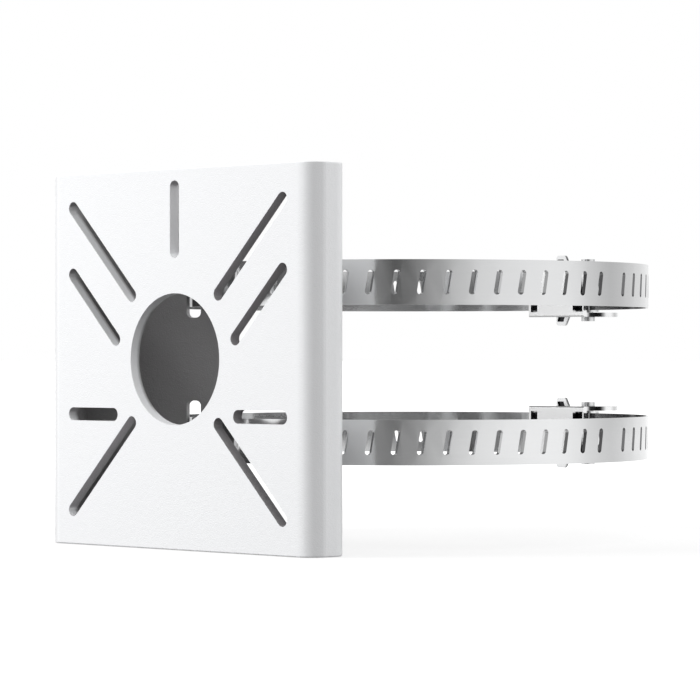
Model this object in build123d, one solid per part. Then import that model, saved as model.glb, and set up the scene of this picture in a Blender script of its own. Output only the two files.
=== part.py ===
from build123d import *
from math import asin, cos, degrees, radians, sin, sqrt, tan
import os

os.makedirs("parts", exist_ok=True)

# A camera bracket for a pole, in millimetres. The origin is the centre of the cable hole on the
# front face. X runs across the face, to the right as seen from the front, Y runs back towards
# the pole, and Z is up.

# The folded bracket: a face, two side flanges and two wings that lean back in behind the face
plate_width = 134.0
plate_height = 130.0
sheet = 4.0
bend_inside_radius = 2.6
flange_depth = 15.0
wing_angle = 31.8
wing_length = 58.2
sheet_edge_round = 0.4

# Openings in the face: the cable hole and the screw slots that point at it
cable_hole_radius = 22.5
screw_slot_width = 4.6
slot_end_margin = 12.0
long_slot_inner_x = 22.0
short_slot_inner_x = 30.3
short_slot_drop = 23.4
level_slot_inner_x = 31.6
level_slot_z = -19.25
top_slot_low_z = 36.8
top_slot_margin = 6.3

# The two clamp bands: perforated strip, wound into a loop that runs through the wings
band_width = 15.5
band_thickness = 0.8
loop_radius = 85.75
band_layer_gap = 0.15
fixed_end_inset = 4.5
step_right = 7.5
step_left = 9.0
tail_end_angle = 39.5

# Holes in the strip: a first run from the fixed end, a plain stretch, and a second run to the tail
perforation_length = 8.55
perforation_width = 2.26
perforation_slant = 9.5
perforation_lean = 45.0
perforation_pitch = 8.88
perforation_start = 7.2
first_run_count = 45
plain_stretch = 15.2
tail_end_margin = 5.0

# Slots in the wings, where the bands pass through and can slide up and down
wing_slot_end_gap = 14.735
wing_slot_spacing = 54.7
wing_slot_play = 9.8
wing_slot_corner = 1.8
band_slot_clearance = 0.5
clamp_drop = 1.05

# The buckle's saddle: a base inside the loop, side rails, ears and two folded lugs
saddle_sheet = 1.6
saddle_left = 15.6
saddle_right = 12.3
saddle_side_clearance = 0.9
saddle_base_clearance = 0.25
saddle_edge_round = 0.7
tail_window_inset = 1.2
tail_window_width = 2.9
worm_window_inset = 0.9
worm_window_width = 5.4
window_side_margin = 0.35
ear_radius = 7.8
ear_offset_x = 3.3
ear_offset_y = 1.6
lug_sheet = 1.2
lug_clearance = 0.05
lug_length = 4.4
lug_half_gap = 1.0

# Rivets that hold the band's fixed end under the lugs
rivet_inset = 2.0
rivet_radius = 1.2
rivet_head_radius = 2.0
rivet_head_height = 0.7
rivet_spread = 9.6

# Pivot pin of the swinging worm housing
pin_x = 6.4
pin_radius = 2.0
pin_head_radius = 2.6
pin_head_height = 1.6
pin_running_clearance = 0.05

# Worm screw and its housing
worm_radius = 4.5
worm_core_radius = 3.3
worm_band_gap = 0.3
worm_thread_base = 2.3
worm_thread_crest = 0.9
worm_left = 9.1
worm_right = 1.8
worm_end_gap = 0.2
neck_radius = 2.5
neck_clearance = 0.1
journal_radius = 1.7
journal_length = 1.0
journal_clearance = 0.05
head_across_flats = 7.0
head_length = 4.8
head_gap = 0.3
head_slot_width = 1.0
head_slot_depth = 1.6
housing_sheet = 1.2
housing_side_clearance = 0.35
housing_bore_clearance = 0.3
housing_band_gap = 0.7
barrel_radius = 4.2
web_half_height = 3.0

# Finger tabs of the worm housing, each with a shallow recess for a fingertip
tab_left = 7.7
tab_root_right = 1.75
tab_tip_right = 3.3
tab_neck_reach = 10.45
tab_reach = 13.5
tab_thickness = 1.2
tab_corner = 1.2
tab_below_axis = 1.8
recess_depth = 0.7
recess_rim = 1.5
recess_left_rim = 0.4
recess_low = 9.7
recess_lean = 0.35
recess_corner = 0.3

# Sizes that follow from the ones above
bend_outside_radius = bend_inside_radius + sheet
slot_outer = plate_height / 2 - slot_end_margin
top_slot_high_z = plate_height / 2 - top_slot_margin
half_band = band_width / 2
half_thickness = band_thickness / 2
wing_across = cos(radians(wing_angle))
wing_back = sin(radians(wing_angle))
wing_slot_reach = wing_length - wing_slot_end_gap
wing_slot_x = plate_width / 2 - wing_slot_reach * wing_across - sheet / 2 * wing_back
wing_slot_y = flange_depth + wing_slot_reach * wing_back - sheet / 2 * wing_across
loop_center_y = wing_slot_y + sqrt(loop_radius**2 - wing_slot_x**2)
tail_radius = loop_radius - band_thickness - band_layer_gap
band_rear_y = loop_center_y + loop_radius
saddle_half_inside = half_band + saddle_side_clearance
saddle_half_outside = saddle_half_inside + saddle_sheet
base_outer_radius = tail_radius - half_thickness - saddle_base_clearance
base_inner_radius = base_outer_radius - saddle_sheet
lug_inner_radius = loop_radius + half_thickness + lug_clearance
lug_outer_radius = lug_inner_radius + lug_sheet
lug_right = saddle_left - lug_length
tail_window_left = saddle_left - tail_window_inset
worm_window_right = saddle_right - worm_window_inset
fixed_end_angle = degrees(asin((saddle_left - fixed_end_inset) / loop_radius))
step_start_angle = 360 - degrees(asin(step_right / loop_radius))
step_end_angle = degrees(asin(step_left / tail_radius))
rivet_angle = degrees(asin((saddle_left - rivet_inset) / loop_radius))
worm_pitch = perforation_pitch / 2
rivet_low_radius = loop_radius - half_thickness - band_layer_gap / 3
worm_axis_y = band_rear_y + half_thickness + worm_band_gap + worm_radius
housing_half_width = saddle_half_inside - housing_side_clearance
housing_low_y = band_rear_y + half_thickness + housing_band_gap
housing_bore_radius = worm_radius + housing_bore_clearance
cover_radius = housing_bore_radius + housing_sheet
chamber_left = worm_left + worm_end_gap
chamber_right = worm_right + worm_end_gap
upper_clamp_z = wing_slot_spacing / 2 - clamp_drop
lower_clamp_z = -wing_slot_spacing / 2 - clamp_drop
clamp_heights = {"upper": upper_clamp_z, "lower": lower_clamp_z}


def around_loop(radius, angle):
    """Point at an angle from the rear of the loop, in degrees, growing towards -X."""
    turn = radians(angle)
    return (-radius * sin(turn), loop_center_y + radius * cos(turn))


def angle_at(x, radius):
    """Angle from the rear of the loop of the point at x on a circle."""
    return degrees(asin(-x / radius))


def loop_arc(radius, start, end):
    """Arc about the loop's centre from one angle to another."""
    return ThreePointArc(
        around_loop(radius, start),
        around_loop(radius, (start + end) / 2),
        around_loop(radius, end),
    )


def ring_sector(inner, outer, start, end):
    """Flat piece of a ring about the loop's centre."""
    outer_arc = loop_arc(outer, start, end)
    inner_arc = loop_arc(inner, end, start)
    return make_face(
        outer_arc + Line(outer_arc @ 1, inner_arc @ 0) + inner_arc + Line(inner_arc @ 1, outer_arc @ 0)
    )


def slab(sketch, low, high):
    """Sketch in the XY plane, made solid between two heights."""
    return Pos(0, 0, low) * extrude(sketch, high - low)


def box_between(low, high):
    """Box between two corners."""
    size = [top - bottom for bottom, top in zip(low, high)]
    middle = [(top + bottom) / 2 for bottom, top in zip(low, high)]
    return Pos(*middle) * Box(*size)


def rod_x(radius, left, right, y):
    """Round bar along X at a height of zero."""
    return Pos((left + right) / 2, y, 0) * Rot(0, 90, 0) * Cylinder(radius, right - left)


def both_sides(solid):
    """A solid with its mirror image across the YZ plane."""
    return [solid, mirror(solid, Plane.YZ)]


def bracket_section():
    """Folded sheet seen from above."""
    turn = radians(wing_angle)
    half = plate_width / 2
    outer_rear = (half, flange_depth)
    outer_end = (half - wing_length * cos(turn), flange_depth + wing_length * sin(turn))
    inner_front = (half - sheet, sheet)
    inner_rear = (half - sheet, flange_depth - sheet * cos(turn) + sheet * (1 - sin(turn)) * tan(turn))
    inner_end = (outer_end[0] - sheet * sin(turn), outer_end[1] - sheet * cos(turn))

    def path(front, rear, end, radius):
        right = [front, rear, end]
        left = [(-x, y) for x, y in reversed(right)]
        return FilletPolyline(*left, *right, radius=radius)

    outer = path((half, 0), outer_rear, outer_end, bend_outside_radius)
    inner = path(inner_front, inner_rear, inner_end, bend_inside_radius)
    return make_face(outer + Line(outer @ 1, inner @ 1) + inner + Line(inner @ 0, outer @ 0))


def face_slot(start, end):
    """Cutter for one screw slot between the centres of its round ends, given as X and Z."""
    run = Vector(end[0] - start[0], end[1] - start[1])
    middle = ((start[0] + end[0]) / 2, (start[1] + end[1]) / 2)
    angle = degrees(asin(run.Y / run.length))
    shape = Pos(*middle) * Rot(0, 0, angle) * SlotCenterToCenter(run.length, screw_slot_width)
    return extrude(Plane.XZ * shape, 2 * sheet, both=True)


def face_cutters():
    """Cable hole, top slot, and the slots that the two sides of the face share."""
    hole = extrude(Plane.XZ * Circle(cable_hole_radius), 2 * sheet, both=True)
    top = extrude(
        Plane.XZ
        * Pos(0, (top_slot_low_z + top_slot_high_z) / 2)
        * Rot(0, 0, 90)
        * SlotCenterToCenter(top_slot_high_z - top_slot_low_z, screw_slot_width),
        2 * sheet,
        both=True,
    )
    ends = [
        ((long_slot_inner_x, long_slot_inner_x), (slot_outer, slot_outer)),
        ((long_slot_inner_x, -long_slot_inner_x), (slot_outer, -slot_outer)),
        (
            (short_slot_inner_x, short_slot_inner_x - short_slot_drop),
            (slot_outer, slot_outer - short_slot_drop),
        ),
        ((level_slot_inner_x, level_slot_z), (slot_outer, level_slot_z)),
    ]
    cutters = [hole, top]
    for start, end in ends:
        cutters += both_sides(face_slot(start, end))
    return cutters


def wing_cutters():
    """Slots in the right wing, centred where the loop crosses it, with their mirror images."""
    turn = radians(wing_angle)
    along = Vector(-cos(turn), sin(turn))
    outward = Vector(sin(turn), cos(turn))
    to_slot = Vector(wing_slot_x, wing_slot_y - loop_center_y)
    cross_sine = abs(to_slot.dot(along)) / loop_radius
    cross_tangent = cross_sine / sqrt(1 - cross_sine**2)
    width = band_thickness / cross_sine + sheet / cross_tangent + 2 * band_slot_clearance
    height = band_width + wing_slot_play
    wing = Plane(origin=(wing_slot_x, wing_slot_y, 0), x_dir=along, z_dir=outward)
    cutters = []
    for side in (1, -1):
        shape = Pos(0, side * wing_slot_spacing / 2) * RectangleRounded(width, height, wing_slot_corner)
        cutters += both_sides(extrude(wing * shape, 2 * sheet, both=True))
    return cutters


def bracket():
    """The folded sheet with its rounded rims and all its openings."""
    body = slab(bracket_section(), -plate_height / 2, plate_height / 2)
    rims = body.edges().filter_by(Plane.XY)
    body = fillet(rims, sheet_edge_round)
    return body - face_cutters() - wing_cutters()


def strip_plane(length):
    """Plane on the strip's middle at a length from its fixed end, with X on along it and Z outward."""
    loop_length = radians(step_start_angle - fixed_end_angle) * loop_radius
    step_start = Vector(*around_loop(loop_radius, step_start_angle))
    step = Vector(*around_loop(tail_radius, step_end_angle)) - step_start
    if loop_length <= length <= loop_length + step.length:
        origin = step_start + step.normalized() * (length - loop_length)
        return Plane(origin=origin, x_dir=step, z_dir=(step.Y, -step.X, 0))
    radius, angle = loop_radius, fixed_end_angle + degrees(length / loop_radius)
    if length > loop_length:
        radius = tail_radius
        angle = step_end_angle + degrees((length - loop_length - step.length) / tail_radius)
    turn = radians(angle)
    return Plane(
        origin=around_loop(radius, angle), x_dir=(-cos(turn), -sin(turn), 0), z_dir=(-sin(turn), cos(turn), 0)
    )


def strip_length():
    """Length of the strip's middle line, from its fixed end to the end of its tail."""
    step_start = Vector(*around_loop(loop_radius, step_start_angle))
    step = Vector(*around_loop(tail_radius, step_end_angle)) - step_start
    loop_length = radians(step_start_angle - fixed_end_angle) * loop_radius
    return loop_length + step.length + radians(tail_end_angle - step_end_angle) * tail_radius


def perforation(length):
    """Cutter for one slanted hole through one layer of the strip, with sides that lean along it."""
    place = strip_plane(length)
    depth = band_thickness + band_layer_gap
    lean = depth * tan(radians(perforation_lean))
    shape = Rot(0, 0, 90 - perforation_slant) * SlotOverall(perforation_length, perforation_width)
    hole = place * Pos(-lean / 2, 0, -depth / 2) * shape
    return Solid.extrude(hole.face(), place.x_dir * lean + place.z_dir * depth)


def perforations():
    """Cutters for both runs of holes along the strip."""
    lengths = [perforation_start + perforation_pitch * place for place in range(first_run_count)]
    second_start = lengths[-1] + plain_stretch
    room = strip_length() - tail_end_margin - second_start
    second_run_count = int(room / perforation_pitch) + 1
    lengths += [second_start + perforation_pitch * place for place in range(second_run_count)]
    return [perforation(length) for length in lengths]


def rivet_places():
    """Planes at the two rivets, with their normals pointing away from the loop's centre."""
    turn = radians(rivet_angle)
    places = []
    for side in (1, -1):
        places.append(
            Plane(
                origin=(0, loop_center_y, side * rivet_spread / 2),
                x_dir=(-cos(turn), -sin(turn), 0),
                z_dir=(-sin(turn), cos(turn), 0),
            )
        )
    return places


def rivet_stem(place, low, high):
    """Rivet's stem between two distances from the loop's centre."""
    return extrude(place * Pos(0, 0, low) * Circle(rivet_radius), high - low)


def band():
    """One strip: the loop, the step under the worm, and the tail that lies inside the loop."""
    outer = loop_arc(loop_radius + half_thickness, fixed_end_angle, step_start_angle)
    inner = loop_arc(loop_radius - half_thickness, fixed_end_angle, step_start_angle)
    tail_outer = loop_arc(tail_radius + half_thickness, step_end_angle, tail_end_angle)
    tail_inner = loop_arc(tail_radius - half_thickness, step_end_angle, tail_end_angle)
    outline = (
        outer
        + Line(outer @ 1, tail_outer @ 0)
        + tail_outer
        + Line(tail_outer @ 1, tail_inner @ 1)
        + tail_inner
        + Line(tail_inner @ 0, inner @ 1)
        + inner
        + Line(inner @ 0, outer @ 0)
    )
    strip = slab(make_face(outline), -half_band, half_band)
    stems = [
        rivet_stem(place, rivet_low_radius, lug_outer_radius + band_thickness)
        for place in rivet_places()
    ]
    return strip - perforations() - stems


def rivets():
    """Two rivets with flat round heads."""
    solids = []
    for place in rivet_places():
        stem = rivet_stem(place, rivet_low_radius, lug_outer_radius)
        head = extrude(place * Pos(0, 0, lug_outer_radius) * Circle(rivet_head_radius), rivet_head_height)
        solids.append(stem + head)
    return solids


def saddle():
    """Base inside the loop, rails beside the band, ears round the pin and lugs over the fixed end."""
    left_angle = angle_at(-saddle_left, base_outer_radius)
    right_angle = angle_at(saddle_right, base_outer_radius)
    lug_angle = angle_at(-lug_right, lug_inner_radius)
    base = slab(
        ring_sector(base_inner_radius, base_outer_radius, right_angle, left_angle),
        -saddle_half_outside,
        saddle_half_outside,
    )
    folds = base.edges().filter_by(GeomType.CIRCLE).sort_by(lambda edge: edge.radius)[:2]
    base = fillet(folds, saddle_edge_round)
    rail_inner_radius = (base_inner_radius + base_outer_radius) / 2
    rail = ring_sector(rail_inner_radius, lug_outer_radius, right_angle, left_angle)
    ear = Pos(pin_x + ear_offset_x, worm_axis_y + ear_offset_y) * Circle(ear_radius)
    lug = ring_sector(lug_inner_radius, lug_outer_radius, lug_angle, left_angle)
    window_half = saddle_half_inside - window_side_margin
    body = base
    for side in (1, -1):
        rail_faces = sorted((side * saddle_half_inside, side * saddle_half_outside))
        lug_faces = sorted((side * lug_half_gap, side * saddle_half_outside))
        body = body + slab(rail + ear, *rail_faces) + slab(lug, *lug_faces)
    windows = (
        (-tail_window_left, -tail_window_left + tail_window_width),
        (worm_window_right - worm_window_width, worm_window_right),
    )
    for low_x, high_x in windows:
        body = body - box_between(
            (low_x, base_inner_radius + loop_center_y - 2 * saddle_sheet, -window_half),
            (high_x, base_outer_radius + loop_center_y, window_half),
        )
    pin_hole = Pos(pin_x, worm_axis_y, 0) * Cylinder(pin_radius, 4 * saddle_half_outside)
    stems = [
        rivet_stem(place, rivet_low_radius, lug_outer_radius + lug_sheet) for place in rivet_places()
    ]
    return body - pin_hole - stems


def pivot_pin():
    """Headed pin through both ears."""
    shank = Cylinder(pin_radius, 2 * saddle_half_outside)
    pin = shank
    for side in (1, -1):
        middle = side * (saddle_half_outside + pin_head_height / 2)
        pin = pin + Pos(0, 0, middle) * Cylinder(pin_head_radius, pin_head_height)
    return Pos(pin_x, worm_axis_y, 0) * pin


def housing_profile(half_width, low_y, shoulder_y, radius):
    """Cover's section across the worm: square feet with a round crown."""
    feet = Pos((low_y + shoulder_y) / 2, 0) * Rectangle(shoulder_y - low_y, 2 * half_width)
    crown = Pos(worm_axis_y, 0) * Circle(radius)
    below = Pos(low_y - radius, 0) * Rectangle(2 * radius, 4 * half_width)
    return feet + crown - below


def along_worm(sketch, left, right):
    """Section across the worm, drawn as Y and Z, made solid between two places along X."""
    return extrude(Plane(origin=(left, 0, 0), x_dir=(0, 1, 0), z_dir=(1, 0, 0)) * sketch, right - left)


def finger_tab(side):
    """Tab with a shallow recess in its front, which stands out past the saddle on one side."""
    root = housing_half_width - housing_sheet / 2
    outline = [
        (-tab_left, root),
        (-tab_root_right, root),
        (-tab_root_right, tab_neck_reach),
        (-tab_tip_right, tab_reach),
        (-tab_left, tab_reach),
    ]
    face = make_face(Polyline(*outline, close=True))
    tips = face.vertices().sort_by(Axis.Y)[-2:]
    face = fillet(tips, tab_corner)
    slope = (tab_tip_right - tab_root_right) / (tab_reach - tab_neck_reach)
    recess_high = tab_reach - recess_rim
    high_right = -tab_root_right - recess_rim - slope * (recess_high - tab_neck_reach)
    high_left = -tab_left + recess_left_rim
    corners = [
        (high_left + recess_lean * (recess_high - recess_low), recess_low),
        (-tab_root_right - recess_rim, recess_low),
        (high_right, recess_high),
        (high_left, recess_high),
    ]
    recess = make_face(Polyline(*corners, close=True))
    recess = fillet(recess.vertices(), recess_corner)
    place = Plane(origin=(0, worm_axis_y - tab_below_axis, 0), x_dir=(1, 0, 0), z_dir=(0, -side, 0))
    floor = tab_thickness / 2 - recess_depth
    tab = extrude(place * face, tab_thickness / 2, both=True)
    return tab - extrude(place * Pos(0, 0, side * floor) * recess, side * tab_thickness)


def worm_housing():
    """Pressed cover over the worm, with a hinge barrel at one end and finger tabs at the other."""
    outside = housing_profile(housing_half_width, housing_low_y, worm_axis_y, cover_radius)
    inside = housing_profile(
        housing_half_width - housing_sheet,
        housing_low_y,
        worm_axis_y - housing_sheet,
        housing_bore_radius,
    )
    cover = along_worm(outside, -chamber_left - housing_sheet, chamber_right + housing_sheet)
    web = box_between(
        (chamber_right, worm_axis_y - web_half_height, -housing_half_width),
        (pin_x, worm_axis_y + web_half_height, housing_half_width),
    )
    barrel = Pos(pin_x, worm_axis_y, 0) * Cylinder(barrel_radius, 2 * housing_half_width)
    body = cover + web + barrel - along_worm(inside, -chamber_left, chamber_right)
    for side in (1, -1):
        body = body + finger_tab(side)
    pin_bore = Pos(pin_x, worm_axis_y, 0) * Cylinder(pin_radius + pin_running_clearance, 4 * band_width)
    neck_bore = rod_x(
        neck_radius + neck_clearance, -chamber_left - 2 * housing_sheet, -chamber_left, worm_axis_y
    )
    journal_bore = rod_x(
        journal_radius + journal_clearance, chamber_right, chamber_right + housing_sheet, worm_axis_y
    )
    return body - pin_bore - neck_bore - journal_bore


def worm_thread():
    """Thread ridge, wound round the core and trimmed to the worm's length."""
    length = worm_left + worm_right
    bury = (worm_radius - worm_core_radius) / 2
    helix = Helix(worm_pitch, length, worm_core_radius - bury)
    start = Plane(origin=helix @ 0, z_dir=helix % 0, x_dir=(1, 0, 0))
    ridge = make_face(
        Polyline(
            (0, -worm_thread_base / 2),
            (worm_radius - worm_core_radius + bury, -worm_thread_crest / 2),
            (worm_radius - worm_core_radius + bury, worm_thread_crest / 2),
            (0, worm_thread_base / 2),
            close=True,
        )
    )
    return sweep(start * ridge, path=helix, is_frenet=True)


def worm_screw():
    """Screw along X: slotted hexagon head, neck, threaded worm and end journal."""
    length = worm_left + worm_right
    core = Pos(0, 0, length / 2) * Cylinder(worm_core_radius, length)
    thread = worm_thread() & Pos(0, 0, length / 2) * Cylinder(worm_radius, length)
    worm = Pos(-worm_left, worm_axis_y, 0) * Rot(0, 90, 0) * (core + thread)
    head_left = -chamber_left - housing_sheet - head_gap - head_length
    head_right = head_left + head_length
    across = Plane(origin=(head_left, worm_axis_y, 0), x_dir=(0, 1, 0), z_dir=(1, 0, 0))
    hexagon = extrude(across * RegularPolygon(head_across_flats / 2, 6, major_radius=False), head_length)
    dome = Cone(head_across_flats / 2 - 0.2, head_across_flats / 2 + head_length - 0.2, head_length)
    hexagon = hexagon & Pos((head_left + head_right) / 2, worm_axis_y, 0) * Rot(0, 90, 0) * dome
    groove = box_between(
        (head_left - head_slot_depth, worm_axis_y - head_slot_width / 2, -head_across_flats),
        (head_left + head_slot_depth, worm_axis_y + head_slot_width / 2, head_across_flats),
    )
    neck = rod_x(neck_radius, head_right, -worm_left, worm_axis_y)
    journal = rod_x(journal_radius, worm_right, worm_right + journal_length, worm_axis_y)
    return hexagon - groove + neck + worm + journal


def write(name, shape):
    """One node's solids to its own STEP file."""
    solids = shape if isinstance(shape, list) else [shape]
    part = Compound(label=name, children=[Solid(solid.solid().wrapped) for solid in solids])
    export_step(part, f"parts/{name}.step")


def clamp_pieces():
    """Every piece of one clamp, with the clamp's middle at a height of zero."""
    return {
        "clamp_band": band(),
        "clamp_saddle": saddle(),
        "clamp_rivets": rivets(),
        "clamp_pivot_pin": pivot_pin(),
        "worm_housing": worm_housing(),
        "worm_screw": worm_screw(),
    }


write("bracket_body", bracket())
for piece_name, piece in clamp_pieces().items():
    for clamp_name, height in clamp_heights.items():
        solids = piece if isinstance(piece, list) else [piece]
        write(f"{clamp_name}_{piece_name}", [Pos(0, 0, height) * solid for solid in solids])
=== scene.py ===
"""Looks of a white folded-sheet camera bracket with two steel band clamps."""

from __future__ import annotations

import logging
import math
from dataclasses import dataclass
from enum import Enum

import bpy
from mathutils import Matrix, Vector

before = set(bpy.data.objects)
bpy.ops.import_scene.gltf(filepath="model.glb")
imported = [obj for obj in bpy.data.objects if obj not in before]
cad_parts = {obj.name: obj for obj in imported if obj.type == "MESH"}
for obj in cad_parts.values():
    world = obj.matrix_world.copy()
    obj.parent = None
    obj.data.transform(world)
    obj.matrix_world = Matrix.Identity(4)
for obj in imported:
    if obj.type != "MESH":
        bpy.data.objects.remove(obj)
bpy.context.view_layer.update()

Colour = tuple[float, float, float]
Point = tuple[float, float, float]
Range = tuple[float, float]
Socket = bpy.types.NodeSocket

log = logging.getLogger("bracket")
made_finishes: dict[str, bpy.types.Material] = {}

WHITE: Colour = (1.0, 1.0, 1.0)
BLACK: Colour = (0.0, 0.0, 0.0)

# Side of the photograph, in pixels.
PHOTO_SIDE = 700

# Sizes and places of the part that its finishes and the floor are laid out from, in metres.
FACE_HEIGHT = 0.130
LOOP_CENTRE_Y = 0.1169
LOOP_RADIUS = 0.08575
WORM_AXIS_Y = 0.20785
PIN_X = 0.0064

# Most values of a noise lie between these two.
MID_NOISE: Range = (0.3, 0.7)


class Clamp(Enum):
    """The two clamps, each with the height of its band's middle, in metres."""

    UPPER = 0.0263
    LOWER = -0.0284

    def node(self, piece: str) -> bpy.types.Object:
        """CAD node of one of this clamp's pieces."""
        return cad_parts[f"{self.name.lower()}_{piece}"]


class Along(Enum):
    """Direction that a finish's fine lines follow."""

    LOOP = "round the loop"
    WORM = "round the worm's axis"
    PIN = "round the pin's axis"


class Graph:
    """Adds and joins the nodes of one shader tree."""

    # Places of a colour mix's sockets, whose names the other kinds of mix share.
    MIX_FACTOR, MIX_FIRST, MIX_SECOND, MIX_RESULT = 0, 6, 7, 2

    def __init__(self, tree: bpy.types.NodeTree) -> None:
        """Start on the emptied tree of a material, a world or a group."""
        self.tree = tree
        tree.nodes.clear()

    def add(self, kind: str, **settings: object) -> bpy.types.Node:
        """Add one node.

        Args:
            kind: Node type, without the ShaderNode prefix where it has one.
            **settings: Properties of the node to set.

        Returns:
            The new node.
        """
        node = self.tree.nodes.new(kind if kind.startswith("NodeGroup") else f"ShaderNode{kind}")
        for name, value in settings.items():
            setattr(node, name, value)
        return node

    def feed(self, socket: Socket, value: object) -> None:
        """Join an output to an input socket, or set the socket's own value.

        Args:
            socket: Input socket.
            value: Output socket, number, or colour or vector as a tuple.
        """
        if isinstance(value, Socket):
            self.tree.links.new(value, socket)
        elif socket.type == "RGBA":
            socket.default_value = (*value, 1.0)
        else:
            socket.default_value = value

    def math(self, operation: str, *values: object, clamp: bool = False) -> Socket:
        """Result of a Math node.

        Args:
            operation: Name of the operation.
            *values: Numbers or output sockets that it works on.
            clamp: Whether the result is kept between 0 and 1.

        Returns:
            The node's output socket.
        """
        node = self.add("Math", operation=operation, use_clamp=clamp)
        for socket, value in zip(node.inputs, values):
            self.feed(socket, value)
        return node.outputs[0]

    def vector_math(self, operation: str, *values: object) -> bpy.types.Node:
        """Add a Vector Math node.

        Args:
            operation: Name of the operation.
            *values: Output sockets with the vectors that it works on.

        Returns:
            The node.
        """
        node = self.add("VectorMath", operation=operation)
        for socket, value in zip(node.inputs, values):
            self.feed(socket, value)
        return node

    def parts(self, vector: Socket) -> tuple[Socket, Socket, Socket]:
        """Split a vector.

        Args:
            vector: Output socket with the vector.

        Returns:
            Output sockets with its x, y and z.
        """
        node = self.add("SeparateXYZ")
        self.feed(node.inputs[0], vector)
        return tuple(node.outputs)

    def joined(self, *values: object) -> Socket:
        """Join numbers to a vector.

        Args:
            *values: Output sockets with its x, y and z. One that is left out is 0.

        Returns:
            Output socket with the vector.
        """
        node = self.add("CombineXYZ")
        for socket, value in zip(node.inputs, values):
            self.feed(socket, value)
        return node.outputs[0]

    def noise(self, vector: Socket, scale: object, detail: float = 2.0) -> Socket:
        """Noise about 0.5.

        Args:
            vector: Where it is read, as an output socket.
            scale: Grains for each metre of the vector.
            detail: Levels of finer noise.

        Returns:
            Output socket with a factor from 0 to 1.
        """
        node = self.add("TexNoise")
        self.feed(node.inputs["Vector"], vector)
        self.feed(node.inputs["Scale"], scale)
        self.feed(node.inputs["Detail"], detail)
        return node.outputs[0]

    def span(self, value: Socket, over: Range, to: Range) -> Socket:
        """Value carried from one range to another, and clamped there.

        Args:
            value: Output socket.
            over: Start and end of its range.
            to: What the start and the end become.

        Returns:
            Output socket.
        """
        node = self.add("MapRange")
        for socket, number in zip(node.inputs, (value, *over, *to)):
            self.feed(socket, number)
        return node.outputs[0]

    def rise(self, value: Socket, over: Range) -> Socket:
        """Mask that goes from 0 to 1 over a range."""
        return self.span(value, over, (0.0, 1.0))

    def fall(self, value: Socket, over: Range) -> Socket:
        """Mask that goes from 1 to 0 over a range."""
        return self.span(value, over, (1.0, 0.0))

    def mix(self, factor: Socket, first: object, second: object) -> Socket:
        """Mix of two colours.

        Args:
            factor: Share of the second colour.
            first: First colour.
            second: Second colour.

        Returns:
            Output socket with a colour.
        """
        node = self.add("Mix", data_type="RGBA")
        self.feed(node.inputs[self.MIX_FACTOR], factor)
        self.feed(node.inputs[self.MIX_FIRST], first)
        self.feed(node.inputs[self.MIX_SECOND], second)
        return node.outputs[self.MIX_RESULT]

    def place(self) -> Socket:
        """Place on the object at rest, in metres."""
        return self.add("TexCoord").outputs["Object"]

    def facing(self) -> Socket:
        """Direction that the object's surface faces at rest."""
        return self.add("TexCoord").outputs["Normal"]

    def bump(self, height: Socket, strength: float, distance: float) -> Socket:
        """Normal with a fine relief.

        Args:
            height: Output socket with the relief's height.
            strength: How much of it shows.
            distance: Full height of the relief, in metres.

        Returns:
            Output socket with the normal.
        """
        node = self.add("Bump")
        node.inputs["Strength"].default_value = strength
        node.inputs["Distance"].default_value = distance
        self.feed(node.inputs["Height"], height)
        return node.outputs["Normal"]

    def group(self, effect: bpy.types.NodeTree, **values: object) -> bpy.types.Node:
        """Place a shared effect with this material's own values.

        Args:
            effect: The effect's node group.
            **values: Values of its inputs, with underscores for spaces.

        Returns:
            The group's node.
        """
        node = self.add("Group", node_tree=effect)
        for name, value in values.items():
            self.feed(node.inputs[name.replace("_", " ")], value)
        return node


class EffectGroup:
    """A shared effect: a node group with named sockets, made the first time it is used."""

    made: dict[str, bpy.types.NodeTree] = {}

    name = ""
    inputs: dict[str, tuple[str, object]] = {}
    outputs: dict[str, str] = {}

    @classmethod
    def get(cls) -> bpy.types.NodeTree:
        """Build the effect's node group, or find it where it was built before.

        Returns:
            The node group.
        """
        if cls.name in cls.made:
            return cls.made[cls.name]
        tree = cls.made[cls.name] = bpy.data.node_groups.new(cls.name, "ShaderNodeTree")
        for title, (kind, value) in cls.inputs.items():
            socket = tree.interface.new_socket(
                title, in_out="INPUT", socket_type=f"NodeSocket{kind}"
            )
            if value is not None:
                socket.default_value = value
        for title, kind in cls.outputs.items():
            tree.interface.new_socket(title, in_out="OUTPUT", socket_type=f"NodeSocket{kind}")
        graph = Graph(tree)
        start, end = graph.add("NodeGroupInput"), graph.add("NodeGroupOutput")
        for title, result in cls.lay(graph, start.outputs).items():
            graph.feed(end.inputs[title], result)
        return tree

    @classmethod
    def lay(cls, graph: Graph, given: bpy.types.NodeOutputs) -> dict[str, Socket]:
        """Lay the effect's nodes, and give a socket for each of its outputs."""
        raise NotImplementedError


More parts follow.
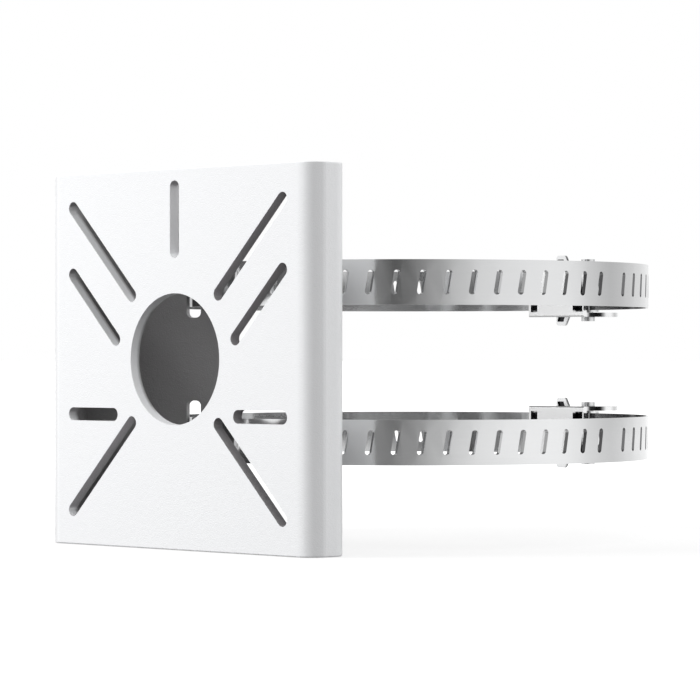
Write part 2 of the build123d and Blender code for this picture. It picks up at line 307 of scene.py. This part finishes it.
class FineGrain(EffectGroup):
    """Grains and soft waves of a sprayed or pressed skin."""

    name = "fine_grain"
    inputs = {
        "Place": ("Vector", None),
        "Grain size": ("Float", 0.0005),
        "Wave size": ("Float", 0.002),
        "Wave share": ("Float", 0.35),
    }
    outputs = {"Height": "Float", "Mottle": "Float"}

    grain_detail = 1.0
    clouds_each_metre = 26.0

    @classmethod
    def lay(cls, graph: Graph, given: bpy.types.NodeOutputs) -> dict[str, Socket]:
        """Mix a fine and a coarse noise.

        Args:
            graph: The group's own graph.
            given: Its inputs.

        Returns:
            The relief's height, and a slow mottle.
        """
        place, share = given["Place"], given["Wave share"]
        fine, coarse = (
            graph.noise(place, graph.math("DIVIDE", 1.0, given[size]), cls.grain_detail)
            for size in ("Grain size", "Wave size")
        )
        height = graph.math(
            "ADD",
            graph.math("MULTIPLY", coarse, share),
            graph.math("MULTIPLY", fine, graph.math("SUBTRACT", 1.0, share)),
        )
        return {"Height": height, "Mottle": graph.noise(place, cls.clouds_each_metre)}


class FineLines(EffectGroup):
    """Fine parallel lines, as rolling or turning leaves them."""

    name = "fine_lines"
    inputs = {
        "Across": ("Float", 0.0),
        "Round": ("Float", 0.0),
        "Line width": ("Float", 0.0002),
        "Line length": ("Float", 0.02),
    }
    outputs = {"Lines": "Float", "Streaks": "Float"}

    # For each output, how fine it is against the line width, and its noise's detail.
    noises = {"Lines": (1.0, 2.0), "Streaks": (0.16, 1.0)}

    @classmethod
    def lay(cls, graph: Graph, given: bpy.types.NodeOutputs) -> dict[str, Socket]:
        """Stretch two noises along the lines.

        Args:
            graph: The group's own graph.
            given: Its inputs, with the place across and along the lines in metres.

        Returns:
            Fine lines, and broader streaks.
        """
        across = graph.math("DIVIDE", given["Across"], given["Line width"])
        along = graph.math("DIVIDE", given["Round"], given["Line length"])
        return {
            title: graph.noise(
                graph.joined(graph.math("MULTIPLY", across, share), along), 1.0, detail
            )
            for title, (share, detail) in cls.noises.items()
        }


class DarkPocket(EffectGroup):
    """Mask of a narrow pocket that light hardly reaches, with soft sides."""

    name = "dark_pocket"
    inputs = {
        "Place": ("Vector", None),
        "Middle": ("Vector", None),
        "Half size": ("Vector", None),
        "Softness": ("Float", 0.0002),
    }
    outputs = {"Mask": "Float"}

    @classmethod
    def lay(cls, graph: Graph, given: bpy.types.NodeOutputs) -> dict[str, Socket]:
        """Measure how deep a point lies in a box, from its nearest side.

        Args:
            graph: The group's own graph.
            given: Its inputs.

        Returns:
            Mask from 0 outside the box to 1 inside.
        """
        away = graph.vector_math("SUBTRACT", given["Place"], given["Middle"])
        reach = graph.vector_math("ABSOLUTE", away.outputs[0])
        depth = graph.vector_math("SUBTRACT", given["Half size"], reach.outputs[0])
        x, y, z = graph.parts(depth.outputs[0])
        least = graph.math("MINIMUM", graph.math("MINIMUM", x, y), z)
        return {"Mask": graph.math("DIVIDE", least, given["Softness"], clamp=True)}


class StudioCompass(EffectGroup):
    """How bright the white studio is in each direction, with the dark screens that steel shows."""

    name = "studio_compass"
    inputs = {"Direction": ("Vector", None)}
    outputs = {"Level": "Color"}

    # Level of the studio in each direction, in degrees from +X towards +Y.
    levels = (
        (-180, 0.70), (-150, 0.95), (-118, 1.0), (-107, 1.0), (-93, 0.58), (-77, 0.37),
        (-73, 0.42), (-69, 0.47), (-65, 0.36), (-61, 0.19), (-55, 0.09), (-50, 0.12),
        (-46, 0.21), (-38, 0.31), (-28, 0.51), (-15, 0.75), (-4, 0.85), (7, 0.90),
        (23, 0.95), (36, 0.93), (42, 0.83), (53, 0.66), (65, 0.56), (76, 0.64),
        (91, 0.78), (115, 0.95), (140, 0.80), (160, 0.60),
    )

    # Upward or downward part of a direction over which the studio darkens, and by how much.
    steep = (0.25, 0.6)
    steep_share = 0.65

    @classmethod
    def lay(cls, graph: Graph, given: bpy.types.NodeOutputs) -> dict[str, Socket]:
        """Read a ramp by the compass.

        Args:
            graph: The group's own graph.
            given: Its input.

        Returns:
            The studio's level, as a grey.
        """
        x, y, z = graph.parts(given["Direction"])
        node = graph.add("ValToRGB")
        compass = graph.rise(graph.math("ARCTAN2", y, x), (-math.pi, math.pi))
        graph.feed(node.inputs[0], compass)
        ramp = node.color_ramp
        ramp.elements.remove(ramp.elements[1])
        for angle, level in cls.levels:
            place = (angle + 180.0) / 360.0
            stop = ramp.elements[0] if place == 0.0 else ramp.elements.new(place)
            stop.color = (level, level, level, 1.0)
        darker = graph.span(graph.math("ABSOLUTE", z), cls.steep, (0.0, cls.steep_share))
        return {"Level": graph.mix(darker, node.outputs["Color"], BLACK)}


@dataclass(frozen=True)
class Pocket:
    """A box round a recess or gap of a clamp, where shade is painted, with its heights from the
    band's middle.

    Attributes:
        low: Lowest corner, in metres.
        high: Highest corner.
        colour: Painted shade colour in the pocket.
        softness: Width of its soft sides.
    """

    low: Point
    high: Point
    colour: Colour = (0.03, 0.03, 0.032)
    softness: float = 0.0002

    def middle(self) -> Point:
        """Middle of the box."""
        return tuple((low + high) / 2 for low, high in zip(self.low, self.high))

    def half_size(self) -> Point:
        """Half of the box's size on each axis."""
        return tuple((high - low) / 2 for low, high in zip(self.low, self.high))


@dataclass(frozen=True)
class Finish:
    """A surface finish: its material's name and its plain values.

    Attributes:
        name: Name of the material.
        colour: Base colour.
        roughness: Middle roughness.
        pockets: Narrow places where shade is painted into the colour.
    """

    name: str
    colour: Colour
    roughness: float
    pockets: tuple[Pocket, ...] = ()

    def material(self) -> bpy.types.Material:
        """Build the material, or find it where it was built before.

        Returns:
            The finish's material.
        """
        if self.name in made_finishes:
            return made_finishes[self.name]
        made = made_finishes[self.name] = bpy.data.materials.new(self.name)
        made.use_nodes = True
        graph = Graph(made.node_tree)
        shader = graph.add("BsdfPrincipled")
        graph.feed(shader.inputs["Base Color"], self.colour)
        graph.feed(shader.inputs["Roughness"], self.roughness)
        graph.feed(graph.add("OutputMaterial").inputs["Surface"], shader.outputs[0])
        self.lay(graph, shader)
        return made

    def lay(self, graph: Graph, shader: bpy.types.Node) -> None:
        """Lay the finish's own nodes, which feed its Principled shader."""
        raise NotImplementedError

    def shade(self, graph: Graph, colour: Socket) -> Socket:
        """Paint shade into a colour in the finish's pockets.

        Args:
            graph: The material's graph.
            colour: Output socket with the plain colour.

        Returns:
            Output socket with the colour.
        """
        if not self.pockets:
            return colour
        x, y, z = graph.parts(graph.place())
        upper, lower = (
            graph.math("ABSOLUTE", graph.math("SUBTRACT", z, clamp.value)) for clamp in Clamp
        )
        spot = graph.joined(x, y, graph.math("MINIMUM", upper, lower))
        # Each pocket paints shade into the colour.
        for pocket in self.pockets:
            mask = graph.group(
                DarkPocket.get(),
                Place=spot,
                Middle=pocket.middle(),
                Half_size=pocket.half_size(),
                Softness=pocket.softness,
            )
            colour = graph.mix(mask.outputs["Mask"], colour, pocket.colour)
        return colour

    def dress(self, piece: bpy.types.Object) -> None:
        """Put the finish on a whole piece."""
        piece.data.materials.clear()
        piece.data.materials.append(self.material())


@dataclass(frozen=True)
class SlotWalls:
    """Where the walls of the screw slots lie, and which of them get painted shade.

    Attributes:
        width: Distances from the face's middle, sideways, over which the slots end, in metres.
        height: Distances up and down over which they end.
        depth: Depths over which the sheet's back begins.
        hole: Distances from the cable hole's axis over which its own wall ends.
        edge: Parts of the normal along the slots' depth over which a wall turns into a face.
        down: Upward parts of the normal over which a wall no longer looks down.
        up: Upward parts of the normal over which it begins to look up.
        right: Places sideways over which the face's right half begins.
    """

    width: Range = (0.0575, 0.0580)
    height: Range = (0.0605, 0.0610)
    depth: Range = (0.0041, 0.0043)
    hole: Range = (0.0228, 0.0232)
    edge: Range = (0.3, 0.6)
    down: Range = (-0.5, -0.1)
    up: Range = (0.15, 0.45)
    right: Range = (0.008, 0.016)

    def masks(self, graph: Graph) -> tuple[Socket, Socket]:
        """Masks of the walls.

        Args:
            graph: The material's graph.

        Returns:
            Output sockets: 1 on the walls that don't face up, and 1 on those with deeper painted
                shade.
        """
        x, y, z = graph.parts(graph.place())
        _, back, upward = graph.parts(graph.facing())
        squares = (graph.math("POWER", value, 2.0) for value in (x, z))
        from_hole = graph.math("SQRT", graph.math("ADD", *squares))
        wall = graph.fall(graph.math("ABSOLUTE", back), self.edge)
        for mask in (
            graph.fall(graph.math("ABSOLUTE", x), self.width),
            graph.fall(graph.math("ABSOLUTE", z), self.height),
            graph.fall(y, self.depth),
            graph.rise(from_hole, self.hole),
        ):
            wall = graph.math("MULTIPLY", wall, mask)
        not_up = graph.fall(upward, self.up)
        shaded = graph.math(
            "MAXIMUM", graph.fall(upward, self.down), graph.rise(x, self.right)
        )
        return graph.math("MULTIPLY", wall, not_up), graph.math("MULTIPLY", wall, shaded)


@dataclass(frozen=True)
class PowderCoat(Finish):
    """Satin white powder coat with a fine orange peel, with painted shade inside the folded sheet.

    Attributes:
        grain: Size of the finest grains, in metres.
        wave: Size of the soft waves, in metres.
        relief: Height of the orange peel, in metres.
        relief_share: How much of that relief shows.
        shade_colour: Painted shade colour in the hollows of the orange peel.
        hollows: Heights of the relief over which a hollow ends.
        hollow_share: Share of the hollows' colour in the deepest ones.
        inside: Painted shade colour inside the fold, a dark grey in place of the white coat.
        behind: Painted shade colour of the wings' backs, darker than the coat.
        fold_shade_colour: Painted shade colour towards which the coat goes over the outer folds.
        fold_shade_share: Share of that colour on the folds' sides.
        left_fold: How much sooner the painted shade begins on the left fold than on the right one.
        fold_side: Sideways parts of the normal over which the painted fold shade grows.
        fold_front: Backward parts of the normal over which that ends.
        fold_back: Backward parts of the normal over which the wings' backs begin.
        slot_wall_shade: Painted shade colour of the slots' walls that don't face up.
        shaded_walls: Deeper painted shade colour of the slots' walls that face down, and of all on
            the right.
        slots: Where those walls lie.
        fold_middle: Depth of the fold's middle behind the face's front, in metres.
        past_face: Depths over which the inside of the fold begins.
        turned_in: How far a normal turns towards the fold's middle, over which it is inside.
        polish: What the relief's hollows and its tops add to the roughness.
        mottle: What the dull and the clear clouds add to it.
    """

    grain: float = 0.00045
    wave: float = 0.0018
    relief: float = 0.00018
    relief_share: float = 0.8
    shade_colour: Colour = (0.84, 0.845, 0.855)
    hollows: Range = (0.30, 0.60)
    hollow_share: float = 0.45
    inside: Colour = (0.36, 0.355, 0.36)
    behind: Colour = (0.74, 0.745, 0.755)
    fold_shade_colour: Colour = (0.62, 0.62, 0.63)
    fold_shade_share: float = 0.5
    left_fold: float = 2.2
    fold_side: Range = (0.30, 0.75)
    fold_front: Range = (-0.25, -0.02)
    fold_back: Range = (0.25, 0.75)
    slot_wall_shade: Colour = (0.70, 0.70, 0.71)
    shaded_walls: Colour = (0.38, 0.37, 0.38)
    slots: SlotWalls = SlotWalls()
    fold_middle: float = 0.022
    past_face: Range = (0.0026, 0.0038)
    turned_in: Range = (0.006, 0.011)
    polish: Range = (0.05, -0.04)
    mottle: Range = (-0.02, 0.02)

    def inside_shade_mask(self, graph: Graph) -> Socket:
        """Mask of the surfaces that face the middle of the fold, where shade is painted.

        Args:
            graph: The material's graph.

        Returns:
            Output socket, 1 inside the fold and 0 outside and at the rims.
        """
        x, y, _ = graph.parts(graph.place())
        sideways, back, _ = graph.parts(graph.facing())
        inward = graph.math(
            "SUBTRACT",
            graph.math("MULTIPLY", graph.math("SUBTRACT", self.fold_middle, y), back),
            graph.math("MULTIPLY", x, sideways),
        )
        return graph.math(
            "MULTIPLY", graph.rise(inward, self.turned_in), graph.rise(y, self.past_face)
        )

    def coat_colour(self, graph: Graph, height: Socket) -> Socket:
        """Colour of the coat, with shade painted into its hollows, folds, backs, slot walls and
        inside.

        Args:
            graph: The material's graph.
            height: Output socket with the height of the orange peel.

        Returns:
            Output socket with the colour.
        """
        # Painted shade: the orange peel's hollows are coloured darker.
        hollow = graph.span(height, self.hollows, (self.hollow_share, 0.0))
        colour = graph.mix(hollow, self.colour, self.shade_colour)
        # Painted shade on the outer folds, which begins sooner on the left fold.
        sideways, back, _ = graph.parts(graph.facing())
        left = graph.math("MULTIPLY", sideways, -self.left_fold)
        either = graph.math("MAXIMUM", sideways, left)
        fold_shade = graph.math(
            "MULTIPLY",
            graph.span(either, self.fold_side, (0.0, self.fold_shade_share)),
            graph.fall(back, self.fold_front),
        )
        # Masks of the slots' walls that get painted shade.
        walls, shaded = self.slots.masks(graph)
        for mask, other in (
            (fold_shade, self.fold_shade_colour),
            # Painted shade on the wings' backs.
            (graph.rise(back, self.fold_back), self.behind),
            (walls, self.slot_wall_shade),
            (shaded, self.shaded_walls),
            # Painted shade inside the fold.
            (self.inside_shade_mask(graph), self.inside),
        ):
            colour = graph.mix(mask, colour, other)
        return colour

    def lay(self, graph: Graph, shader: bpy.types.Node) -> None:
        """Grain in the colour, the gloss and the relief, with painted shade in the colour.

        Args:
            graph: The material's graph.
            shader: Its Principled shader.
        """
        skin = graph.group(
            FineGrain.get(), Place=graph.place(), Grain_size=self.grain, Wave_size=self.wave
        )
        height = skin.outputs["Height"]
        graph.feed(shader.inputs["Base Color"], self.coat_colour(graph, height))
        roughness = tuple(self.roughness + share for share in self.polish)
        gloss = graph.math(
            "ADD",
            graph.span(height, MID_NOISE, roughness),
            graph.span(skin.outputs["Mottle"], MID_NOISE, self.mottle),
        )
        graph.feed(shader.inputs["Roughness"], gloss)
        graph.feed(shader.inputs["Normal"], graph.bump(height, self.relief_share, self.relief))


@dataclass(frozen=True)
class LinedSteel(Finish):
    """Bare steel with fine lines along one direction.

    Attributes:
        along: Direction of the lines.
        line_width: Width of a line, in metres.
        contrast: How much the lines change the gloss.
        relief: Height of the lines, in metres.
        relief_share: How much of that relief shows.
        turned: Metres along the lines for each metre beside a turned piece's axis.
        streak_colour: Colour of the dull streaks.
        streaks: Values of the noise over which a streak begins.
        streak_share: Share of that colour in a streak.
    """

    along: Along = Along.LOOP
    line_width: float = 0.00012
    contrast: float = 0.03
    relief: float = 0.000001
    relief_share: float = 0.35
    turned: float = 0.2
    streak_colour: Colour = (0.30, 0.31, 0.32)
    streaks: Range = (0.35, 0.65)
    streak_share: float = 0.02

    def places(self, graph: Graph) -> tuple[Socket, Socket]:
        """Places across and along the lines.

        Args:
            graph: The material's graph.

        Returns:
            Output sockets with the place across and the place along, in metres.
        """
        x, y, z = graph.parts(graph.place())
        if self.along is Along.LOOP:
            turn = graph.math("ARCTAN2", x, graph.math("SUBTRACT", y, LOOP_CENTRE_Y))
            return z, graph.math("MULTIPLY", turn, LOOP_RADIUS)
        if self.along is Along.WORM:
            from_axis = graph.math("SUBTRACT", y, WORM_AXIS_Y)
            return x, graph.math("MULTIPLY", from_axis, self.turned)
        from_axis = graph.math("SUBTRACT", x, PIN_X)
        return z, graph.math("MULTIPLY", from_axis, self.turned)

    def lay(self, graph: Graph, shader: bpy.types.Node) -> None:
        """Lines in the gloss, the colour and the relief.

        Args:
            graph: The material's graph.
            shader: Its Principled shader.
        """
        shader.inputs["Metallic"].default_value = 1.0
        across, along = self.places(graph)
        drawn = graph.group(
            FineLines.get(), Across=across, Round=along, Line_width=self.line_width
        )
        lines = drawn.outputs["Lines"]
        dull = graph.span(drawn.outputs["Streaks"], self.streaks, (0.0, self.streak_share))
        worn = graph.mix(dull, self.colour, self.streak_colour)
        graph.feed(shader.inputs["Base Color"], self.shade(graph, worn))
        half = self.contrast / 2
        gloss = graph.span(lines, MID_NOISE, (self.roughness - half, self.roughness + half))
        graph.feed(shader.inputs["Roughness"], gloss)
        graph.feed(shader.inputs["Normal"], graph.bump(lines, self.relief_share, self.relief))


@dataclass(frozen=True)
class BandSteel(LinedSteel):
    """Rolled strip, with a painted dark reflection inside the loop, on the quarter beside the
    buckle.

    Attributes:
        loop_shade: Colour of the painted dark reflection.
        loop_shade_start: Turns round the loop over which the painted dark reflection begins, in
            degrees from +Y.
        loop_shade_end: Turns over which it ends.
        outer_face: How far a normal turns away from the loop's axis, over which the strip's
            outer face begins, in metres.
    """

    loop_shade: Colour = (0.22, 0.22, 0.225)
    loop_shade_start: Range = (2.0, 20.0)
    loop_shade_end: Range = (91.0, 97.0)
    outer_face: Range = (0.068, 0.078)

    def shade(self, graph: Graph, colour: Socket) -> Socket:
        """Paint a dark reflection on the loop's inner stretch, and shade into the buckle's gaps.

        Args:
            graph: The material's graph.
            colour: Output socket with the plain colour.

        Returns:
            Output socket with the colour.
        """
        x, y, _ = graph.parts(graph.place())
        sideways, back, _ = graph.parts(graph.facing())
        from_axis = graph.math("SUBTRACT", y, LOOP_CENTRE_Y)
        outward = graph.math(
            "ADD",
            graph.math("MULTIPLY", x, sideways),
            graph.math("MULTIPLY", from_axis, back),
        )
        turn = graph.math("ARCTAN2", x, from_axis)
        start, end = (
            tuple(math.radians(angle) for angle in angles)
            for angles in (self.loop_shade_start, self.loop_shade_end)
        )
        # Painted dark reflection inside the loop, on the quarter beside the buckle.
        stretch = graph.math("MULTIPLY", graph.rise(turn, start), graph.fall(turn, end))
        loop_shaded = graph.math("MULTIPLY", graph.fall(outward, self.outer_face), stretch)
        return super().shade(graph, graph.mix(loop_shaded, colour, self.loop_shade))


@dataclass(frozen=True)
class PressedSteel(Finish):
    """Pressed sheet steel with a faint satin grain.

    Attributes:
        bareness: Share of bare metal on the front faces, which are frosted where it is under 1.
        front: Backward parts of the normal over which a front face ends.
        grain: Size of the grains, in metres.
        wave: Size of the soft waves, in metres.
        contrast: How much the grains change the gloss.
        relief: Height of the grains, in metres.
        relief_share: How much of that relief shows.
        cloud_colour: Colour of the pale clouds.
        clouds: Values of the noise over which a cloud begins.
        cloud_share: Share of that colour in a cloud.
    """

    bareness: float = 1.0
    front: Range = (-0.97, -0.90)
    grain: float = 0.00025
    wave: float = 0.00125
    contrast: float = 0.03
    relief: float = 0.000002
    relief_share: float = 0.2
    cloud_colour: Colour = (0.55, 0.56, 0.58)
    clouds: Range = (0.35, 0.7)
    cloud_share: float = 0.03

    def lay(self, graph: Graph, shader: bpy.types.Node) -> None:
        """Grain in the gloss and the relief, and clouds in the colour.

        Args:
            graph: The material's graph.
            shader: Its Principled shader.
        """
        if self.bareness < 1.0:
            _, back, _ = graph.parts(graph.facing())
            bare = graph.span(back, self.front, (self.bareness, 1.0))
            graph.feed(shader.inputs["Metallic"], bare)
        else:
            shader.inputs["Metallic"].default_value = 1.0
        skin = graph.group(
            FineGrain.get(), Place=graph.place(), Grain_size=self.grain, Wave_size=self.wave
        )
        height = skin.outputs["Height"]
        cloud = graph.span(skin.outputs["Mottle"], self.clouds, (0.0, self.cloud_share))
        clouded = graph.mix(cloud, self.colour, self.cloud_colour)
        graph.feed(shader.inputs["Base Color"], self.shade(graph, clouded))
        half = self.contrast / 2
        gloss = graph.span(height, MID_NOISE, (self.roughness - half, self.roughness + half))
        graph.feed(shader.inputs["Roughness"], gloss)
        graph.feed(shader.inputs["Normal"], graph.bump(height, self.relief_share, self.relief))


# Painted shade in the buckle's window gaps, in the housing's tab recess and round the saddle's ear
# rims.
WINDOW_GAP_SHADE = (
    Pocket((-0.0150, 0.1980, -0.0100), (-0.0108, 0.2045, 0.0100)),
    Pocket((0.0052, 0.1980, -0.0100), (0.0120, 0.2045, 0.0100)),
)
TAB_RECESS_SHADE = (Pocket((-0.0080, 0.2059, 0.0090), (-0.0015, 0.2064, 0.0125)),)
EAR_RIM_SHADE = (
    Pocket(
        (0.0070, 0.2000, 0.0070),
        (0.0172, 0.2062, 0.0119),
        colour=(0.05, 0.05, 0.052),
        softness=0.0016,
    ),
)

POWDER_COAT = PowderCoat("satin_white_coat", (0.888, 0.895, 0.908), 0.46)
BAND_STEEL = BandSteel("rolled_band_steel", (0.80, 0.805, 0.81), 0.12, WINDOW_GAP_SHADE)
SADDLE_STEEL = PressedSteel(
    "pressed_buckle_steel", (0.93, 0.932, 0.935), 0.16, EAR_RIM_SHADE, bareness=0.2
)
HOUSING_STEEL = PressedSteel("pressed_housing_steel", (0.84, 0.845, 0.85), 0.12, TAB_RECESS_SHADE)
PIN_STEEL = LinedSteel(
    "headed_pin_steel", (0.74, 0.745, 0.75), 0.14, along=Along.PIN, line_width=0.0001
)
WORM_STEEL = LinedSteel(
    "turned_worm_steel", (0.70, 0.705, 0.71), 0.14, along=Along.WORM, line_width=0.0001
)


@dataclass
class PhotoCamera:
    """Camera that stands where the photograph was taken.

    Attributes:
        place: Where it stands, in metres.
        turn: Its turn about the vertical, in degrees, from looking along +Y.
        focal: Focal length in pixels of the photograph.
        horizon: Row of the photograph at the camera's own height.
        sensor: Width of its sensor, in millimetres.
        nearest: Distance at which its view begins, in metres.
        farthest: Distance at which its view ends.
    """

    place: Point = (0.8519, -0.7701, 0.0010)
    turn: float = 44.897
    focal: float = 3362.95
    horizon: float = 356.276
    sensor: float = 36.0
    nearest: float = 0.01
    farthest: float = 100.0

    def build(self) -> bpy.types.Object:
        """Make the camera and set it as the scene's.

        Returns:
            The camera.
        """
        data = bpy.data.cameras.new("photo_camera")
        data.sensor_width = self.sensor
        data.lens = self.focal * self.sensor / PHOTO_SIDE
        data.shift_y = (self.horizon - PHOTO_SIDE / 2) / PHOTO_SIDE
        data.clip_start = self.nearest
        data.clip_end = self.farthest
        camera = bpy.data.objects.new("photo_camera", data)
        camera.location = self.place
        camera.rotation_euler = (math.pi / 2, 0.0, math.radians(self.turn))
        bpy.context.scene.collection.objects.link(camera)
        bpy.context.scene.camera = camera
        return camera


@dataclass
class Softbox:
    """A square lamp that faces the bracket.

    Attributes:
        name: Name of the lamp.
        compass: Direction of the lamp from the bracket, in degrees from +X towards +Y.
        height: Its height above the bracket, in degrees.
        level: Light on a surface that faces it, where 1 shows a colour as it is.
        side: Its side, in metres.
        far: Its distance, in metres.
        aim: Point that it faces.
    """

    name: str
    compass: float
    height: float
    level: float
    side: float = 1.0
    far: float = 1.6
    aim: Point = (0.0, 0.07, 0.0)

    def build(self) -> bpy.types.Object:
        """Make the lamp.

        Returns:
            The lamp.
        """
        data = bpy.data.lights.new(self.name, "AREA")
        data.shape = "SQUARE"
        data.size = self.side
        # A lamp of this power gives a white surface at this distance a radiance of 1.
        full_power = math.pi**2 * self.far**2
        data.energy = self.level * full_power
        lamp = bpy.data.objects.new(self.name, data)
        turn, rise = math.radians(self.compass), math.radians(self.height)
        level_part = math.cos(rise)
        away = Vector((level_part * math.cos(turn), level_part * math.sin(turn), math.sin(rise)))
        lamp.location = Vector(self.aim) + away * self.far
        lamp.rotation_euler = away.to_track_quat("Z", "Y").to_euler()
        lamp.visible_glossy = False
        bpy.context.scene.collection.objects.link(lamp)
        return lamp


@dataclass
class Studio:
    """Plain pale floor, white surroundings and soft lamps.

    Attributes:
        ambient: Level of the light that comes from all round.
        echo: Share of the studio that is left in a reflection of a reflection.
        floor_half: Half of the floor's side, in metres.
        floor_gap: Gap between the floor and the bracket, which keeps the two apart.
        floor_colour: Colour of the floor where the camera sees it.
        floor_bounce: Colour with which the floor lights the bracket.
        floor_glow: Brightness that the near floor adds for the camera, which leaves its shadow.
        floor_clears: Distances from the part's middle over which the glow grows to white.
        floor_mirror: Brightness of the near floor in steel.
        mirror_clears: Distances over which that grows to white.
    """

    ambient: float = 0.87
    echo: float = 0.35
    floor_half: float = 30.0
    floor_gap: float = 0.0002
    floor_colour: Colour = (0.30, 0.30, 0.30)
    floor_bounce: Colour = (0.12, 0.12, 0.12)
    floor_glow: float = 0.68
    floor_clears: Range = (0.25, 0.9)
    floor_mirror: float = 0.35
    mirror_clears: Range = (0.20, 0.7)

    def build(self) -> None:
        """Make the surroundings, the floor and the lamps."""
        self.surround()
        self.floor()
        for lamp in (
            Softbox("front_left_softbox", compass=-130.0, height=22.0, level=0.83),
            Softbox("right_softbox", compass=5.0, height=14.0, level=0.20),
            Softbox("rear_right_softbox", compass=80.0, height=14.0, level=0.36),
        ):
            lamp.build()
        bpy.context.scene.view_settings.view_transform = "Standard"

    def rays(self, graph: Graph) -> tuple[Socket, Socket, Socket]:
        """Which rays see the studio, and how much of it.

        Args:
            graph: Graph of the world or of the floor.

        Returns:
            Output sockets: 1 for camera and transmission rays, 1 for glossy rays, and the
            share of the studio that is left for a glossy ray.
        """
        path = graph.add("LightPath")
        direct = graph.math(
            "MAXIMUM", path.outputs["Is Camera Ray"], path.outputs["Is Transmission Ray"]
        )
        left = graph.span(path.outputs["Glossy Depth"], (1.0, 2.0), (1.0, self.echo))
        return direct, path.outputs["Is Glossy Ray"], left

    def surround(self) -> None:
        """Make the white surroundings."""
        world = bpy.data.worlds.new("white_studio")
        bpy.context.scene.world = world
        world.use_nodes = True
        graph = Graph(world.node_tree)
        direct, glossy, left = self.rays(graph)
        seen = graph.math("MAXIMUM", direct, glossy)
        direction = graph.add("TexCoord").outputs["Generated"]
        compass = graph.group(StudioCompass.get(), Direction=direction)
        white = graph.mix(glossy, WHITE, compass.outputs["Level"])
        light = graph.add("Background")
        graph.feed(light.inputs["Color"], graph.mix(seen, (self.ambient,) * 3, white))
        graph.feed(light.inputs["Strength"], left)
        graph.feed(graph.add("OutputWorld").inputs["Surface"], light.outputs[0])

    def floor(self) -> bpy.types.Object:
        """Make the floor that the bracket stands on.

        Returns:
            The floor.
        """
        mesh = bpy.data.meshes.new("floor")
        half, low = self.floor_half, -FACE_HEIGHT / 2 - self.floor_gap
        corners = [(-half, -half, low), (half, -half, low), (half, half, low), (-half, half, low)]
        mesh.from_pydata(corners, [], [(0, 1, 2, 3)])
        mesh.materials.append(self.floor_material())
        floor = bpy.data.objects.new("floor", mesh)
        bpy.context.scene.collection.objects.link(floor)
        return floor

    def floor_material(self) -> bpy.types.Material:
        """Pale floor that goes over into the white background, and keeps the part's shadow.

        Returns:
            The floor's material.
        """
        made = bpy.data.materials.new("pale_floor")
        made.use_nodes = True
        graph = Graph(made.node_tree)
        direct, glossy, left = self.rays(graph)
        seen = graph.math("MAXIMUM", direct, glossy)
        place = graph.place()
        compass = graph.group(StudioCompass.get(), Direction=place)
        shader = graph.add("BsdfDiffuse")
        camera_only = graph.math("SUBTRACT", seen, glossy)
        pale = graph.mix(camera_only, self.floor_bounce, self.floor_colour)
        graph.feed(shader.inputs["Color"], pale)
        away = graph.vector_math("LENGTH", place).outputs["Value"]
        near = graph.span(away, self.floor_clears, (self.floor_glow, 1.0))
        mirrored = graph.span(away, self.mirror_clears, (self.floor_mirror, 1.0))
        strength = graph.mix(glossy, near, graph.math("MULTIPLY", mirrored, left))
        glow = graph.add("Emission")
        graph.feed(glow.inputs["Color"], graph.mix(glossy, WHITE, compass.outputs["Level"]))
        graph.feed(glow.inputs["Strength"], graph.math("MULTIPLY", seen, strength))
        both = graph.add("AddShader")
        for socket, part in zip(both.inputs, (shader, glow)):
            graph.feed(socket, part.outputs[0])
        graph.feed(graph.add("OutputMaterial").inputs["Surface"], both.outputs[0])
        return made


@dataclass
class BracketBody:
    """The folded and coated sheet.

    Attributes:
        coat: Finish of the whole sheet.
    """

    coat: PowderCoat = POWDER_COAT

    def build(self) -> bpy.types.Object:
        """Dress the CAD sheet.

        Returns:
            The sheet.
        """
        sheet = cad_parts["bracket_body"]
        self.coat.dress(sheet)
        return sheet


@dataclass
class BandClamp:
    """One perforated band with its buckle.

    Attributes:
        which: The upper or the lower clamp.
    """

    which: Clamp

    def build(self) -> list[bpy.types.Object]:
        """Dress the clamp's pieces.

        Returns:
            The pieces.
        """
        finishes = {
            "clamp_band": BAND_STEEL,
            "clamp_saddle": SADDLE_STEEL,
            "clamp_rivets": PIN_STEEL,
            "clamp_pivot_pin": PIN_STEEL,
            "worm_housing": HOUSING_STEEL,
            "worm_screw": WORM_STEEL,
        }
        pieces = []
        for piece, finish in finishes.items():
            node = self.which.node(piece)
            finish.dress(node)
            pieces.append(node)
        return pieces


def main() -> None:
    """Build the scene piece by piece."""
    logging.basicConfig(level=logging.INFO, format="%(message)s")
    PhotoCamera().build()
    log.info("camera")
    Studio().build()
    log.info("studio")
    sheet = BracketBody().build()
    log.info("%s", sheet.name)
    for which in Clamp:
        for piece in BandClamp(which).build():
            log.info("%s", piece.name)


if __name__ == "__main__":
    main()
